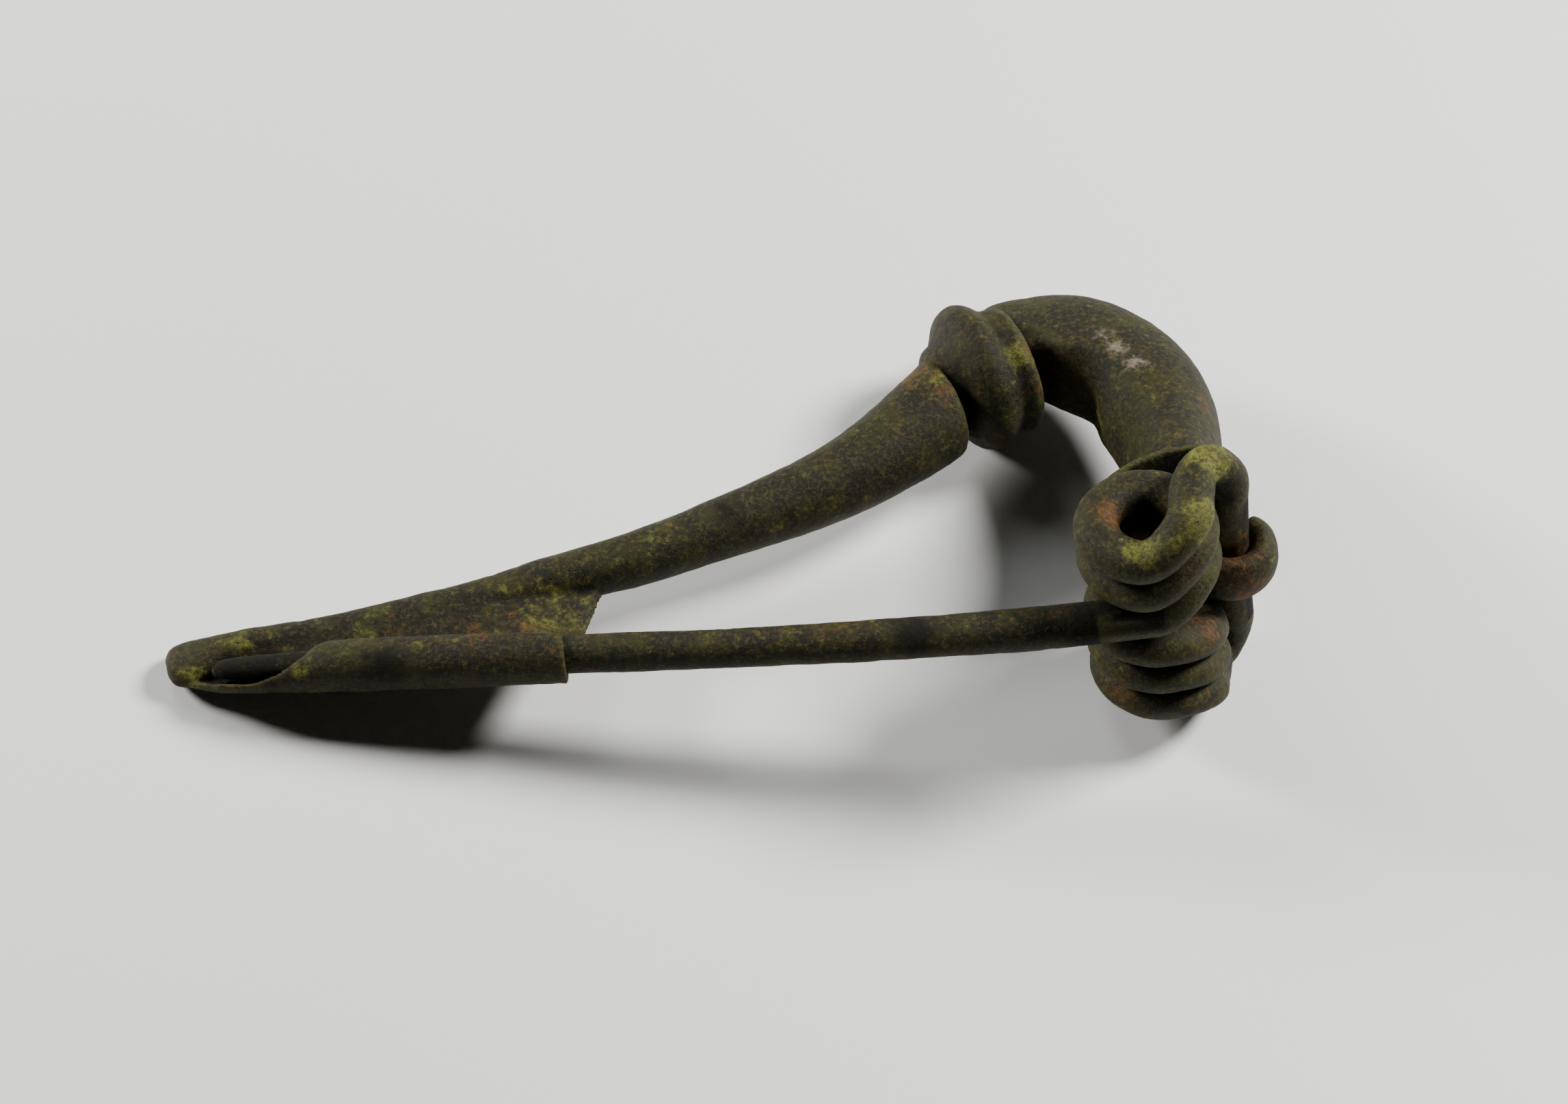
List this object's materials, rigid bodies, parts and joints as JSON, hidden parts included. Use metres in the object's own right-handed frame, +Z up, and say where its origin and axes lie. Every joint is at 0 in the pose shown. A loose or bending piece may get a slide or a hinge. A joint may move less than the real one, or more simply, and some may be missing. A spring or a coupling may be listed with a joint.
{
  "type": "fibula brooch",
  "caption": "Bronze bow brooch with a trumpet head, a collared bow, a coiled spring, a straight pin and a long foot with a rolled catch.",
  "frame": {"origin": "middle of the bounding box, on the surface that the brooch lies on", "axes": "+X along the pin towards the spring and head, +Y from the pin towards the bow, +Z up, out of the side that the brooch shows when it lies down"},
  "size_m": [0.0544, 0.0248, 0.0153],
  "materials": {
    "bronze": "matt, pitted olive-brown patina on bronze"
  },
  "bodies": {
    "root": {"brooch": "bronze"}
  },
  "joints": []
}
